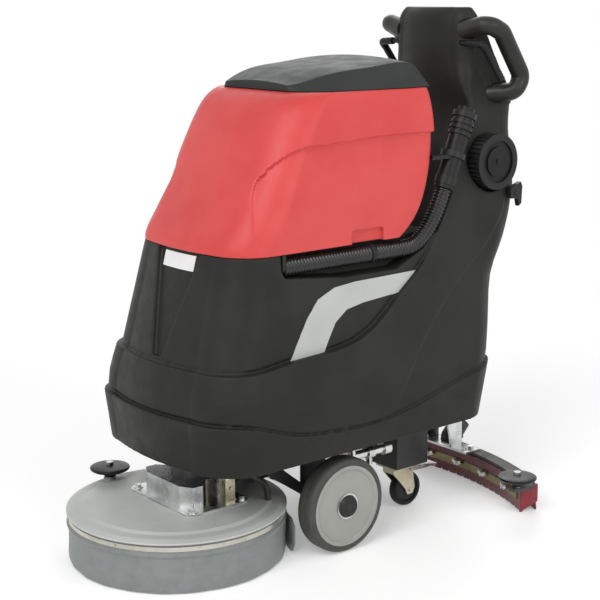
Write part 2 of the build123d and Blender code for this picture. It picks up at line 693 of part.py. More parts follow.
for name, shape in (("wheel_rim", rim), ("wheel_tyre", tyre)):
    save(f"left_{name}", shape)
    save(f"right_{name}", mirrored(shape))

# Casters
plate_foot = caster_box_bottom - caster_plate
stem_plate = block(caster_x - 38, caster_x + 30, caster_y - 32, caster_y + 32, plate_foot, caster_box_bottom)
stem_plate = stem_plate + upright(stem_radius, caster_x, caster_y, 80, caster_box_bottom)
stem_plate = stem_plate + upright(12, caster_x, caster_y, 79, 84)
save("caster_stems", group(stem_plate, mirrored(stem_plate)))
wheel_x = caster_x - caster_trail
leg_points = [
    (caster_x + 22, 97.4), (caster_x - 34, 97.4), (wheel_x - 14, 44), (wheel_x - 8, 30), (wheel_x + 8, 30),
    (wheel_x + 14, 44), (caster_x + 22, 85),
]
leg_y = caster_y + caster_width / 2 + 2
leg = side_prism(leg_points, leg_y, leg_y + 3)
crown = block(caster_x - 34, caster_x + 22, caster_y - 18, caster_y + 18, 84.6, 97.4)
fork = crown + leg + leg.mirror(Plane(origin=(0, caster_y, 0), z_dir=(0, 1, 0)))
fork = fork + across(5, wheel_x, caster_radius, caster_y - 23, caster_y + 23)
brake_pin = (caster_x - 30.0, 90.0)
fork = fork - upright(stem_radius + running_gap, caster_x, caster_y, 70, 110)
fork = fork + across(3, *brake_pin, caster_y - 24, caster_y + 24)
tread_bore = 5 + running_gap
tread_points = [
    (tread_bore, -12), (12, -12), (14, -9), (30, -9), (31, -13), (37, -12), (caster_radius, -8),
    (caster_radius, 8), (37, 12), (31, 13), (30, 9), (14, 9), (12, 12), (tread_bore, 12),
]
tread = Pos(wheel_x, caster_y, caster_radius) * Rot(-90, 0, 0) * spun(tread_points, 0, 0)
brake_points = [
    (caster_x - 26, 96.5), (caster_x - 38, 96.5), (caster_x - 100, 88), (caster_x - 104, 84),
    (caster_x - 60, 84), (caster_x - 36, 85), (caster_x - 26, 86),
]
brake = side_prism(brake_points, caster_y - 24, caster_y - 18.4)
brake = brake + side_prism(brake_points, caster_y + 18.4, caster_y + 24)
brake = brake + block(caster_x - 104, caster_x - 56, caster_y - 24, caster_y + 24, 84, 88)
brake = brake - across(3 + running_gap, *brake_pin, caster_y - 40, caster_y + 40)
for name, shape in (("caster_fork", fork), ("caster_wheel", tread), ("caster_brake", brake)):
    save(f"left_{name}", shape)
    save(f"right_{name}", mirrored(shape))

# Brush deck
skirt_bore = deck_radius - 8
hood_points = [
    (16, deck_top - deck_sheet), (16, deck_top), (deck_radius - 38, deck_top), (deck_radius - 30, 111),
    (deck_radius - 12, 110), (deck_radius, 106), (deck_radius, 102), (skirt_bore, 100.5), (skirt_bore, 82),
    (skirt_bore - 6, 82), (skirt_bore - 6, 102), (deck_radius - 40, deck_top - deck_sheet),
]
save("brush_hood", spun(hood_points, deck_x, 0) + upright(14, *deck_roller, 108, roller_seat))
skirt_points = [
    (skirt_bore + seat_gap, 2), (band_radius - 0.5, 2), (band_radius, 20), (band_radius, 76),
    (deck_radius, 78), (deck_radius, 83), (band_radius, 85), (band_radius, 100), (skirt_bore + seat_gap, 100),
]
save("splash_skirt", spun(skirt_points, deck_x, 0))
band_inner = band_radius + seat_gap
band = upright(band_inner + band_sheet, deck_x, 0, 88, 97) - upright(band_inner, deck_x, 0, 80, 110)
for step in range(8):
    turned = math.radians(22.5 + 45 * step)
    direction = Vector(math.cos(turned), math.sin(turned), 0)
    screw_start = Vector(deck_x, 0, 92.5) + direction * (band_inner + 0.5)
    screw_end = screw_start + direction * 2.3
    band = band + rod(3.4, tuple(screw_start), tuple(screw_end))
save("skirt_band", band)

plate_points = [
    (203, -98), (217, -112), (346, -112), (360, -98), (360, 98), (346, 112), (217, 112), (203, 98),
]
gear_points = [
    (346, -58), (346, 58), (330, 86), (306, 86), (285, 62), (213, 62), (213, -62), (285, -62), (306, -86),
    (330, -86),
]
gear_room = [
    (343, -57), (343, 57), (328, 83), (307, 83), (286.5, 59), (216, 59), (216, -59), (286.5, -59),
    (307, -83), (328, -83),
]
gear_shell = flat_prism(gear_points, motor_plate_top - 1, gear_top)
gear_shell = fillet(gear_shell.edges().filter_by(Axis.Z), 5)
housing = flat_prism(plate_points, deck_top, motor_plate_top) + gear_shell
housing = housing - flat_prism(gear_room, motor_plate_top, gear_top - 3)
housing = housing - upright(shaft_radius + running_gap, deck_x, 0, 100, gear_top - 3)
plate_bolts = []
for bolt_x in (220.0, 343.0):
    for bolt_y in (-97.0, 97.0):
        bolt = upright(10, bolt_x, bolt_y, motor_plate_top, motor_plate_top + 1.6)
        hexagon = Plane(origin=(bolt_x, bolt_y, motor_plate_top + 1.6)) * RegularPolygon(7.5, 6)
        plate_bolts.append(bolt + extrude(hexagon, amount=5.4))


def roller_post(x, y, foot, top):
    post = upright(roller_bolt, x, y, foot, top + 1) + upright(10, x, y, foot, foot + 2)
    hexagon = Plane(origin=(x, y, top + free_gap)) * RegularPolygon(8.5, 6)
    return post + extrude(hexagon, amount=6)


def roller(x, y, foot):
    bore = roller_bolt + running_gap
    points = [
        (bore, foot), (13, foot), (15, foot + 9), (34, foot + 13), (roller_radius - 2, foot + 16),
        (roller_radius, foot + 20), (roller_radius - 2, foot + 23), (26, foot + 26), (bore, foot + 26),
    ]
    return spun(points, x, y)


deck_post = roller_post(*deck_roller, roller_seat, roller_seat + 2 + free_gap + 26)
save("gear_housing", group(housing, *plate_bolts, deck_post))
save("deck_roller", roller(*deck_roller, roller_seat + 2 + free_gap))
hanger = block(240, 264, hanger_y - 11, hanger_y - 7, motor_plate_top, 172)
hanger = hanger + block(240, 264, hanger_y + 7, hanger_y + 11, motor_plate_top, 172)
hanger = hanger + block(260, 264, hanger_y - 11, hanger_y + 11, motor_plate_top, 172)
hanger = hanger + across(pin_radius, *hanger_pin, hanger_y - 14, hanger_y + 14)
hanger = hanger + across(3, 246, 127, hanger_y - 17, hanger_y + 17)
save("deck_hangers", group(hanger, mirrored(hanger)))
save("brush_motor", upright(motor_radius, motor_x, 0, gear_top, 292) + upright(30, motor_x, 0, 292, 306))
disc_points = [
    (0, 50), (brush_radius, 50), (brush_radius, 60), (brush_radius - 6, 66), (45, 68), (45, 84),
    (shaft_radius, 92), (shaft_radius, 160), (0, 160),
]
save("brush_disc", spun(disc_points, deck_x, 0))
save("brush_bristles", spun([(70, 0), (brush_radius + 5, 0), (brush_radius - 3, 50), (78, 50)], deck_x, 0))

# Lift arms and pedal
arm = side_prism([(125, 175), (125, 151), (252, 143.5), (252, 156.5)], hanger_y - 3, hanger_y + 3)
arm = arm + across(15, *arm_pivot, hanger_y - 3, hanger_y + 3)
arm = arm + across(7.4, *hanger_pin, hanger_y - 3, hanger_y + 3)
arm = arm - across(pin_radius + pin_play, hanger_pin[0] - pin_swing / 2, hanger_pin[1], 0, 200)
arms = arm + mirrored(arm) + across(11, *arm_pivot, -hanger_y, hanger_y)
save("lift_arms", arms - across(pivot_radius + running_gap, *arm_pivot, -200, 200))
pedal = side_prism([(-238, 202), (-262, 203), (-440, 186), (-440, 172), (-262, 178), (-238, 178)], -162, -154)
pedal = pedal + block(-484, -436, -198, -148, 174, 182)
save("lift_pedal", pedal - across(pivot_radius + running_gap, *pedal_pivot, -300, 0))

# Water fittings under the tank
tap = rod(9, (-25, 160, 172), (-118, 160, 172)) + upright(9, -25, 160, 172, body_bottom)
tap = tap + Pos(-25, 160, 172) * Sphere(9) + rod(13, (-66, 160, 172), (-84, 160, 172))
tap = tap + rod(14, (-112, 160, 172), (-130, 160, 172)) + upright(7, -75, 160, 146, 172)
valve = block(257, 291, 112, 144, 188, body_bottom)
save("water_fittings", group(tap, valve))
hose_points = [(250, 128, 203.5), (202, 128, 160), (174, 128, deck_top + 0.6)]
hose_arc = Spline(hose_points, tangents=[(-1, 0, -0.85), (0, 0, -1)])
hose_skin = sweep(Plane(origin=hose_arc @ 0, z_dir=hose_arc % 0) * Circle(6.5), path=hose_arc)
hose_core = sweep(Plane(origin=hose_arc @ 0, z_dir=hose_arc % 0) * Circle(4.5), path=hose_arc)
save("solution_hose", hose_skin - hose_core)


# Squeegee
def sector(inner_radius, outer_radius, angle, z_from, z_to):
    cosine = math.cos(math.radians(angle))
    sine = math.sin(math.radians(angle))
    outer_near = (arc_x - outer_radius * cosine, outer_radius * sine, z_from)
    outer_far = (arc_x - outer_radius * cosine, -outer_radius * sine, z_from)
    inner_near = (arc_x - inner_radius * cosine, inner_radius * sine, z_from)
    inner_far = (arc_x - inner_radius * cosine, -inner_radius * sine, z_from)
    edges = [
        ThreePointArc(outer_far, (arc_x - outer_radius, 0, z_from), outer_near),
        Line(outer_near, inner_near),
        ThreePointArc(inner_near, (arc_x - inner_radius, 0, z_from), inner_far),
        Line(inner_far, outer_far),
    ]
    return extrude(make_face(edges), amount=z_to - z_from, dir=(0, 0, 1))


frame_front = lip_radius + blade_sheet / 2 + seat_gap
frame_rear = frame_front + squeegee_depth
squeegee = sector(frame_front, frame_rear, squeegee_angle, 18, squeegee_top)
squeegee = squeegee - sector(frame_front + 5, frame_rear - 5, squeegee_angle - 0.6, 10, squeegee_top - 8)
ear_points = [(-425, 300), (-404, 338), (-372, 336), (-350, 328), (-350, 312), (-366, 302), (-402, 286)]
ear = flat_prism(ear_points, squeegee_top - 7, squeegee_top)
squeegee = squeegee + ear + mirrored(ear)
port_x = arc_x - (frame_front + frame_rear) / 2
port_corner = Vector(port_x, 0, squeegee_top + 12)
port_way = Vector(-1, 0, 1).normalized()
port_step = tuple(port_corner + port_way * 14)
port_tip = tuple(port_corner + port_way * 46)
port = upright(25, port_x, 0, squeegee_top - 1, port_corner.Z) + Pos(*port_corner) * Sphere(25)
port = port + rod(25, tuple(port_corner), port_step) + rod(22, port_step, port_tip)
port_bore = upright(14, port_x, 0, squeegee_top - 9, port_corner.Z) + Pos(*port_corner) * Sphere(14)
port_bore = port_bore + rod(14, tuple(port_corner), tuple(port_corner + port_way * 50))
save("squeegee_frame", squeegee + port - port_bore)
blade_rear = frame_front - seat_gap
front_blade = sector(blade_rear - blade_sheet, blade_rear, squeegee_angle + 0.6, 0, 62)
blade_ends = sector(frame_front - blade_sheet, frame_rear + blade_sheet, squeegee_angle + 0.6, 0, 62)
blade_ends = blade_ends - sector(600, 800, squeegee_angle + 0.05, -1, 70)
rear_blade = sector(frame_rear + seat_gap, frame_rear + seat_gap + blade_sheet, squeegee_angle, 0, 60)
save("squeegee_blades", group(front_blade + blade_ends, rear_blade))
strap_front = frame_front - 2 * seat_gap - blade_sheet
strap_rear = frame_rear + 2 * seat_gap + blade_sheet
front_strap = sector(strap_front - 1.8, strap_front, squeegee_angle - 1, 24, 42)
rear_strap = sector(strap_rear, strap_rear + 1.8, squeegee_angle - 1, 24, 42)
save("blade_straps", group(front_strap, rear_strap))
nut_x = arc_x - strap_front + 2.2
wing_nut = rod(5, (nut_x, 0, 33), (nut_x + 7, 0, 33)) + rod(2.6, (nut_x, 0, 33), (nut_x + 12, 0, 33))
for side in (-1, 1):
    wing_nut = wing_nut + Pos(nut_x + 6, side * 8, 36) * Rot(side * 25, 0, 0) * Box(2.6, 13, 8)
wing_nuts = []
for angle in (-20.0, -12.0, -4.0, 4.0, 12.0, 20.0):
    wing_nuts.append(Pos(arc_x, 0, 0) * Rot(0, 0, -angle) * Pos(-arc_x, 0, 0) * wing_nut)
bracket = block(-487, -440, -95, 95, squeegee_top, squeegee_top + 5)
cheek_points = [
    (-480, 74), (-446, 74), (-432, 142), (-312, 158), (-300, 156), (-288, 163), (-288, 177), (-300, 184),
    (-440, 172), (-480, 140),
]
cheek = side_prism(cheek_points, 36, 41)
bracket = bracket + cheek + mirrored(cheek) - upright(26, port_x, 0, 60, 90)
bracket = bracket - across(pivot_radius + running_gap, *squeegee_pivot, -100, 100)
for bolt_y in (-78.0, 78.0):
    hexagon = Plane(origin=(-472, bolt_y, squeegee_top + 5)) * RegularPolygon(8, 6)
    bracket = bracket + extrude(hexagon, amount=6)
roller_foot = squeegee_top + 2 + free_gap
posts = []
for side in (-1, 1):
    posts.append(roller_post(squeegee_roller[0], side * squeegee_roller[1], squeegee_top, roller_foot + 26))
save("squeegee_bracket", group(bracket, *posts, *wing_nuts))
side_roller = roller(*squeegee_roller, roller_foot)
save("left_squeegee_roller", side_roller)
save("right_squeegee_roller", mirrored(side_roller))
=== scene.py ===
import bpy
import bmesh
import json
import math
import random
from mathutils import Matrix, Vector


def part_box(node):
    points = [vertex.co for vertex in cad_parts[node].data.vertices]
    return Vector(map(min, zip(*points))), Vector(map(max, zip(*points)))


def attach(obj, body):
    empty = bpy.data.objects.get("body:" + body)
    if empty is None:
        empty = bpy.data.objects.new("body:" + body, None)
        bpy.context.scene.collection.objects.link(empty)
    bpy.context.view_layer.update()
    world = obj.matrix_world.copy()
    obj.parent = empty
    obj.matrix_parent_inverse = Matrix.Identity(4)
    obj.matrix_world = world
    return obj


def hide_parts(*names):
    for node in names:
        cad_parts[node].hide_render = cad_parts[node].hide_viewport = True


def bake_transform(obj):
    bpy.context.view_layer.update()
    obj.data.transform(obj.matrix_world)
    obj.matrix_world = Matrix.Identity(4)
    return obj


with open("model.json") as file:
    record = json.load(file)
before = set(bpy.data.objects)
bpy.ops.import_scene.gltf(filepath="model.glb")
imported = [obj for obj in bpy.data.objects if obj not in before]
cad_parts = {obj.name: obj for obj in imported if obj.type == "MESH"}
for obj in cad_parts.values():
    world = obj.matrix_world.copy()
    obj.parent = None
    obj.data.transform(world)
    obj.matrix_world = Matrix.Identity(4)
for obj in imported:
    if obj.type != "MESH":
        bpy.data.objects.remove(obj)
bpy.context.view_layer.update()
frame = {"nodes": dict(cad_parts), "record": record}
nodes = frame["nodes"]
scene = bpy.context.scene
scene.view_settings.view_transform = "Standard"
print("frame loaded,", len(nodes), "nodes")

# camera at the photograph's angle
cameraPlan = {
    "place": (1.86574, 2.30192, 1.13657),
    "look": (-0.618565, -0.756033, -0.213988),
    "roll": -0.0047,
    "lens": 85.155,
    "sensor": 36.0,
}


def makeCamera(plan):
    look = Vector(plan["look"]).normalized()
    right = look.cross(Vector((0, 0, 1))).normalized()
    up = right.cross(look)
    c = math.cos(plan["roll"])
    s = math.sin(plan["roll"])
    rightTurned = right * c + up * s
    upTurned = up * c - right * s
    data = bpy.data.cameras.new("camera")
    data.lens = plan["lens"]
    data.sensor_width = plan["sensor"]
    data.clip_end = 60
    camera = bpy.data.objects.new("camera", data)
    turn = Matrix((rightTurned, upTurned, -look)).transposed().to_4x4()
    camera.matrix_world = Matrix.Translation(plan["place"]) @ turn
    scene.collection.objects.link(camera)
    scene.camera = camera


makeCamera(cameraPlan)
print("camera set")

# node helpers


def newFinish(name):
    mat = bpy.data.materials.new(name)
    mat.use_nodes = True
    tree = mat.node_tree
    return mat, tree, tree.nodes["Principled BSDF"]


def addNode(tree, kind, **values):
    made = tree.nodes.new(kind)
    for key, value in values.items():
        setattr(made, key, value)
    return made


def objectPlace(tree, stretch=(1, 1, 1)):
    coords = addNode(tree, "ShaderNodeTexCoord")
    mapping = addNode(tree, "ShaderNodeMapping")
    mapping.inputs["Scale"].default_value = stretch
    tree.links.new(coords.outputs["Object"], mapping.inputs["Vector"])
    return mapping.outputs["Vector"]


def noiseOf(tree, scale, detail=3.0, rough=0.55, stretch=(1, 1, 1)):
    noise = addNode(tree, "ShaderNodeTexNoise")
    noise.inputs["Scale"].default_value = scale
    noise.inputs["Detail"].default_value = detail
    noise.inputs["Roughness"].default_value = rough
    tree.links.new(objectPlace(tree, stretch), noise.inputs["Vector"])
    return noise.outputs["Fac"]


def spread(tree, value, low, high, outLow=0.0, outHigh=1.0):
    part = addNode(tree, "ShaderNodeMapRange", interpolation_type="SMOOTHSTEP")
    part.inputs["From Min"].default_value = low
    part.inputs["From Max"].default_value = high
    part.inputs["To Min"].default_value = outLow
    part.inputs["To Max"].default_value = outHigh
    tree.links.new(value, part.inputs["Value"])
    return part.outputs["Result"]


def timesOf(tree, first, second):
    maths = addNode(tree, "ShaderNodeMath", operation="MULTIPLY")
    tree.links.new(first, maths.inputs[0])
    if isinstance(second, float):
        maths.inputs[1].default_value = second
    else:
        tree.links.new(second, maths.inputs[1])
    return maths.outputs[0]


def mixColour(tree, amount, first, second):
    mix = addNode(tree, "ShaderNodeMix", data_type="RGBA")
    tree.links.new(amount, mix.inputs["Factor"])
    for socket, value in ((mix.inputs[6], first), (mix.inputs[7], second)):
        if isinstance(value, tuple):
            socket.default_value = (*value, 1)
        else:
            tree.links.new(value, socket)
    return mix.outputs[2]


def bumpOf(tree, height, distance, strength=1.0, under=None):
    bump = addNode(tree, "ShaderNodeBump")
    bump.inputs["Distance"].default_value = distance
    bump.inputs["Strength"].default_value = strength
    tree.links.new(height, bump.inputs["Height"])
    if under is not None:
        tree.links.new(under, bump.inputs["Normal"])
    return bump.outputs["Normal"]


def heightOf(tree):
    split = addNode(tree, "ShaderNodeSeparateXYZ")
    tree.links.new(objectPlace(tree), split.inputs[0])
    return split.outputs["Z"]


def edgeWear(tree, low, high):
    shape = addNode(tree, "ShaderNodeNewGeometry")
    return spread(tree, shape.outputs["Pointiness"], low, high)


# moulded plastic: mottled colour, fine moulded grain, faint scuffs, paler worn edges, floor dust low down
def mouldedPlastic(name, look):
    mat, tree, shader = newFinish(name)
    mottle = spread(tree, noiseOf(tree, look.get("mottle", 7.0), 4), 0.3, 0.7)
    colour = mixColour(tree, mottle, look["dark"], look["pale"])
    scuff = spread(tree, noiseOf(tree, 34.0, 6, 0.7, (1.0, 1.0, 0.16)), 0.6, 0.78)
    scuff = timesOf(tree, scuff, look.get("scuff", 0.25))
    colour = mixColour(tree, scuff, colour, look["worn"])
    wear = timesOf(tree, edgeWear(tree, 0.52, 0.6), look.get("wear", 0.3))
    colour = mixColour(tree, wear, colour, look["worn"])
    dust = timesOf(tree, spread(tree, heightOf(tree), 0.34, 0.05), noiseOf(tree, 55.0, 5, 0.65))
    dust = timesOf(tree, dust, look.get("dust", 0.2))
    colour = mixColour(tree, dust, colour, (0.36, 0.34, 0.3))
    tree.links.new(colour, shader.inputs["Base Color"])
    low, high = look["rough"]
    tree.links.new(spread(tree, noiseOf(tree, 26.0, 5, 0.6), 0.3, 0.7, low, high), shader.inputs["Roughness"])
    grain = bumpOf(tree, noiseOf(tree, look.get("grain", 900.0), 2, 0.5), look.get("grainDepth", 0.00012))
    waves = bumpOf(tree, noiseOf(tree, 13.0, 2, 0.4), look.get("waves", 0.0006), 0.6, grain)
    tree.links.new(waves, shader.inputs["Normal"])
    shader.inputs["Specular IOR Level"].default_value = look.get("specular", 0.4)
    return mat


# plated or painted metal: brushed streaks, cloudy plating, small pits
def platedMetal(name, look):
    mat, tree, shader = newFinish(name)
    cloud = spread(tree, noiseOf(tree, look.get("cloud", 18.0), 5, 0.6), 0.32, 0.68)
    colour = mixColour(tree, cloud, look["dark"], look["pale"])
    streak = spread(tree, noiseOf(tree, 90.0, 4, 0.6, look.get("brush", (1.0, 9.0, 9.0))), 0.4, 0.7)
    colour = mixColour(tree, timesOf(tree, streak, look.get("streak", 0.4)), colour, look["streakColour"])
    pits = spread(tree, noiseOf(tree, 260.0, 3, 0.5), 0.68, 0.78)
    colour = mixColour(tree, timesOf(tree, pits, 0.35), colour, look["dark"])
    tree.links.new(colour, shader.inputs["Base Color"])
    low, high = look["rough"]
    tree.links.new(spread(tree, cloud, 0.0, 1.0, low, high), shader.inputs["Roughness"])
    shader.inputs["Metallic"].default_value = look.get("metal", 1.0)
    tree.links.new(bumpOf(tree, streak, 0.00006, 0.5), shader.inputs["Normal"])
    return mat


# rubber: soft sheen, bloom and rubbed patches
def softRubber(name, look):
    mat, tree, shader = newFinish(name)
    bloom = spread(tree, noiseOf(tree, 22.0, 5, 0.65), 0.35, 0.7)
    colour = mixColour(tree, bloom, look["dark"], look["pale"])
    rubbed = spread(tree, noiseOf(tree, 120.0, 4, 0.7, look.get("rub", (1, 1, 0.2))), 0.58, 0.72)
    colour = mixColour(tree, timesOf(tree, rubbed, look.get("rubbed", 0.3)), colour, look["worn"])
    tree.links.new(colour, shader.inputs["Base Color"])
    low, high = look["rough"]
    tree.links.new(spread(tree, bloom, 0.0, 1.0, low, high), shader.inputs["Roughness"])
    tree.links.new(bumpOf(tree, noiseOf(tree, 700.0, 2), 0.0001), shader.inputs["Normal"])
    shader.inputs["Specular IOR Level"].default_value = look.get("specular", 0.35)
    return mat


blackLook = {
    "dark": (0.016, 0.016, 0.0142), "pale": (0.024, 0.024, 0.0218), "worn": (0.045, 0.045, 0.041),
    "rough": (0.42, 0.55),
    "specular": 0.17, "dust": 0.0, "scuff": 0.15, "wear": 0.25,
}
redLook = {
    "dark": (0.61, 0.058, 0.056), "pale": (0.66, 0.078, 0.073), "worn": (0.80, 0.22, 0.20),
    "rough": (0.38, 0.5),
    "wear": 0.2, "scuff": 0.1, "dust": 0.0, "specular": 0.3,
}
lidLook = {
    "dark": (0.024, 0.028, 0.0255), "pale": (0.032, 0.037, 0.034), "worn": (0.07, 0.076, 0.07),
    "rough": (0.5, 0.62), "dust": 0.0,
    "specular": 0.2, "waves": 0.0003,
}
inlayLook = {
    "dark": (0.41, 0.43, 0.40), "pale": (0.47, 0.49, 0.46), "worn": (0.56, 0.58, 0.55), "rough": (0.4, 0.52),
    "dust": 0.0,
}
plateLook = {
    "dark": (0.76, 0.76, 0.76), "pale": (0.84, 0.84, 0.84), "worn": (0.9, 0.9, 0.9), "rough": (0.3, 0.4),
    "dust": 0.0, "waves": 0.0,
}
fittingLook = {
    "dark": (0.008, 0.008, 0.008), "pale": (0.014, 0.014, 0.014), "worn": (0.045, 0.045, 0.045),
    "rough": (0.34, 0.48),
    "specular": 0.2, "dust": 0.06,
}
gripLook = {
    "dark": (0.014, 0.014, 0.013), "pale": (0.024, 0.024, 0.022), "worn": (0.06, 0.06, 0.055),
    "rough": (0.34, 0.48), "grain": 500.0, "specular": 0.3,
}
hoseLook = {
    "dark": (0.010, 0.010, 0.010), "pale": (0.020, 0.020, 0.020), "worn": (0.045, 0.045, 0.045),
    "rough": (0.14, 0.22), "wear": 0.12, "specular": 0.42,
}
discLook = {
    "dark": (0.275, 0.28, 0.255), "pale": (0.33, 0.335, 0.31), "worn": (0.42, 0.42, 0.39),
    "rough": (0.45, 0.6), "dust": 0.25,
}
deckLook = {
    "dark": (0.45, 0.47, 0.45), "pale": (0.52, 0.54, 0.52), "worn": (0.62, 0.63, 0.61), "rough": (0.36, 0.5),
    "dust": 0.1,
}
panelLook = {
    "dark": (0.13, 0.135, 0.13), "pale": (0.17, 0.175, 0.17), "worn": (0.3, 0.3, 0.3), "rough": (0.35, 0.5),
    "dust": 0.0,
}
batteryLook = {
    "dark": (0.03, 0.03, 0.035), "pale": (0.05, 0.05, 0.055), "worn": (0.12, 0.12, 0.12),
    "rough": (0.4, 0.55), "dust": 0.0,
}
greenLook = {
    "dark": (0.03, 0.22, 0.08), "pale": (0.06, 0.30, 0.12), "worn": (0.2, 0.45, 0.25), "rough": (0.3, 0.45),
    "dust": 0.0,
}
blueLook = {
    "dark": (0.03, 0.10, 0.30), "pale": (0.06, 0.16, 0.40), "worn": (0.2, 0.3, 0.5), "rough": (0.3, 0.45),
    "dust": 0.0,
}
boardLook = {
    "dark": (0.01, 0.07, 0.03), "pale": (0.02, 0.11, 0.05), "worn": (0.3, 0.26, 0.1), "rough": (0.3, 0.5),
    "dust": 0.0,
}
windowLook = {
    "dark": (0.012, 0.018, 0.022), "pale": (0.02, 0.03, 0.036), "worn": (0.05, 0.06, 0.07),
    "rough": (0.08, 0.16), "waves": 0.0, "dust": 0.0,
}
castLook = {
    "dark": (0.016, 0.016, 0.016), "pale": (0.026, 0.026, 0.026), "specular": 0.2, "worn": (0.08, 0.08, 0.08),
    "rough": (0.38, 0.55), "grainDepth": 0.0003,
}
bristleLook = {
    "dark": (0.06, 0.08, 0.12), "pale": (0.12, 0.15, 0.2), "worn": (0.3, 0.32, 0.36), "rough": (0.4, 0.6),
}
zincLook = {
    "dark": (0.42, 0.43, 0.43), "pale": (0.66, 0.67, 0.66), "streakColour": (0.78, 0.79, 0.8),
    "rough": (0.18, 0.36),
}
yellowLook = {
    "dark": (0.42, 0.38, 0.26), "pale": (0.60, 0.57, 0.46), "streakColour": (0.62, 0.6, 0.53),
    "rough": (0.24, 0.42),
}
strapLook = {
    "dark": (0.13, 0.10, 0.045), "pale": (0.24, 0.20, 0.10), "streakColour": (0.34, 0.31, 0.21),
    "rough": (0.3, 0.45),
}
bandLook = {
    "dark": (0.40, 0.38, 0.32), "pale": (0.56, 0.54, 0.48), "streakColour": (0.64, 0.63, 0.6),
    "rough": (0.24, 0.4),
}
frameLook = {
    "dark": (0.009, 0.009, 0.009), "pale": (0.016, 0.016, 0.016), "streakColour": (0.03, 0.03, 0.03),
    "rough": (0.35, 0.5), "metal": 0.0, "streak": 0.2,
}
motorLook = {
    "dark": (0.02, 0.02, 0.022), "pale": (0.04, 0.04, 0.044), "streakColour": (0.07, 0.07, 0.07),
    "rough": (0.3, 0.45), "metal": 0.0, "streak": 0.2,
}
tapLook = {
    "dark": (0.5, 0.5, 0.48), "pale": (0.72, 0.72, 0.7), "streakColour": (0.8, 0.8, 0.8),
    "rough": (0.12, 0.26),
}
tyreLook = {
    "dark": (0.046, 0.046, 0.040), "pale": (0.066, 0.066, 0.058), "worn": (0.14, 0.14, 0.125),
    "rough": (0.55, 0.72),
}
blackTyreLook = {
    "dark": (0.010, 0.010, 0.010), "pale": (0.018, 0.018, 0.018), "worn": (0.06, 0.06, 0.056),
    "rough": (0.45, 0.65),
    "specular": 0.2,
}
skirtLook = {
    "dark": (0.19, 0.205, 0.203), "pale": (0.235, 0.25, 0.248), "worn": (0.33, 0.35, 0.35),
    "rough": (0.42, 0.6),
}
bladeLook = {
    "dark": (0.075, 0.005, 0.009), "pale": (0.13, 0.010, 0.017), "worn": (0.30, 0.05, 0.06),
    "rough": (0.2, 0.34), "specular": 0.5,
}
lipLook = {
    "dark": (0.19, 0.010, 0.018), "pale": (0.27, 0.017, 0.03), "worn": (0.36, 0.06, 0.075),
    "rough": (0.24, 0.38), "specular": 0.5,
}
rollerLook = {
    "dark": (0.007, 0.007, 0.007), "pale": (0.012, 0.012, 0.012), "worn": (0.04, 0.04, 0.038),
    "rough": (0.26, 0.4),
    "specular": 0.2,
}

finishes = {
    "black_shell": mouldedPlastic("blackShell", blackLook),
    "red_shell": mouldedPlastic("redShell", redLook),
    "lid_plastic": mouldedPlastic("lidPlastic", lidLook),
    "pale_inlay": mouldedPlastic("paleInlay", inlayLook),
    "white_plate": mouldedPlastic("whitePlate", plateLook),
    "dark_plastic": mouldedPlastic("darkFitting", fittingLook),
    "grip_plastic": mouldedPlastic("gripPlastic", gripLook),
    "hose_plastic": mouldedPlastic("hosePlastic", hoseLook),
    "soft_rubber": softRubber("rollerRubber", rollerLook),
    "black_paint": platedMetal("blackPaint", frameLook),
    "bright_zinc": platedMetal("brightZinc", zincLook),
    "yellow_zinc": platedMetal("yellowZinc", yellowLook),
    "grey_disc": mouldedPlastic("greyDisc", discLook),
    "grey_tyre": softRubber("greyTyre", tyreLook),
    "black_tyre": softRubber("blackTyre", blackTyreLook),
    "deck_grey": mouldedPlastic("deckGrey", deckLook),
    "skirt_rubber": softRubber("skirtRubber", skirtLook),
    "band_steel": platedMetal("bandSteel", bandLook),
    "motor_paint": platedMetal("motorPaint", motorLook),
    "bristle_fibre": mouldedPlastic("bristleFibre", bristleLook),
    "battery_case": mouldedPlastic("batteryCase", batteryLook),
    "blade_rubber": softRubber("bladeRubber", bladeLook),
    "strap_brass": platedMetal("strapBrass", strapLook),
    "plate_grey": mouldedPlastic("castPlate", castLook),
    "display_glass": mouldedPlastic("displayWindow", windowLook),
    "button_green": mouldedPlastic("buttonGreen", greenLook),
    "button_blue": mouldedPlastic("buttonBlue", blueLook),
    "key_metal": platedMetal("keyMetal", tapLook),
    "panel_grey": mouldedPlastic("panelGrey", panelLook),
    "board_green": mouldedPlastic("boardGreen", boardLook),
    "brass_tap": platedMetal("tapPlating", tapLook),
}
lipFinish = softRubber("lipRubber", lipLook)
slotOf = {part["node"]: part["material_slot"] for part in frame["record"]["subparts"]}
bodyOf = {name: body for body, names in frame["record"]["behaviour"]["bodies"].items() for name in names}
for name, cadNode in nodes.items():
    cadNode.data.materials.clear()
    cadNode.data.materials.append(finishes[slotOf[name]])
print("finishes made,", len(finishes))

# mesh helpers


def addPiece(name, mesh, finish, body, smooth=True):
    piece = bpy.data.objects.new(name, mesh)
    scene.collection.objects.link(piece)
    mesh.materials.clear()
    mesh.materials.append(finish)
    if smooth:
        mesh.shade_smooth()
    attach(piece, body)
    return piece


def meshFrom(name, points, faces):
    mesh = bpy.data.meshes.new(name)
    mesh.from_pydata(points, [], faces)
    work = bmesh.new()
    work.from_mesh(mesh)
    bmesh.ops.remove_doubles(work, verts=work.verts, dist=1e-6)
    bmesh.ops.recalc_face_normals(work, faces=work.faces)
    work.to_mesh(mesh)
    work.free()
    return mesh


